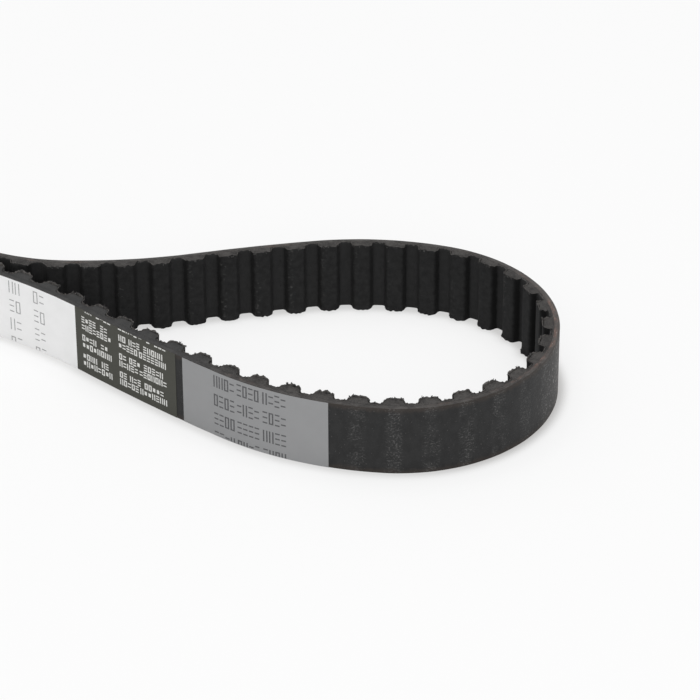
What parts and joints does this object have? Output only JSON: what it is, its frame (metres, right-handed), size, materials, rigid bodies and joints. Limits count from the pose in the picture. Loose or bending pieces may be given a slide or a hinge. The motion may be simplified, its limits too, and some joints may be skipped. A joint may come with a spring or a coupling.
{
  "type": "timing belt",
  "caption": "Endless rubber timing belt with rounded trapezoidal teeth inside, relaxed on its edge in two lobes.",
  "frame": {"origin": "middle of the waist between the two lobes, on the surface that the belt's edge rests on", "axes": "+X along the two lobes, +Y across them, +Z across the belt's width, from the edge it stands on to the other edge"},
  "size_m": [0.3298, 0.0946, 0.02],
  "materials": {
    "back_rubber": "matte moulded back with a fine pebbled grain",
    "tooth_rubber": "knife-cut rubber, slightly lighter than the moulded faces",
    "facing_fabric": "woven stretch nylon, rubber-filled, low sheen",
    "glass_cord": "resin-dipped twisted glass yarn",
    "white_print": "thin printed film, matt",
    "olive_print": "thin printed film, matt",
    "grey_print": "thin printed film, matt"
  },
  "bodies": {
    "root": {"backing_rubber": "back_rubber", "tooth_rubber": "tooth_rubber", "tooth_facing_fabric": "facing_fabric", "glass_cord_s_turn_1": "glass_cord", "glass_cord_z_turn_1": "glass_cord", "glass_cord_s_turn_2": "glass_cord", "glass_cord_z_turn_2": "glass_cord", "glass_cord_s_turn_3": "glass_cord", "glass_cord_z_turn_3": "glass_cord", "glass_cord_s_turn_4": "glass_cord", "glass_cord_z_turn_4": "glass_cord", "glass_cord_s_turn_5": "glass_cord", "glass_cord_z_turn_5": "glass_cord", "glass_cord_s_turn_6": "glass_cord", "glass_cord_z_turn_6": "glass_cord", "glass_cord_s_turn_7": "glass_cord", "glass_cord_z_turn_7": "glass_cord", "white_print_film": "white_print", "olive_print_film": "olive_print", "grey_print_film": "grey_print"}
  },
  "joints": []
}
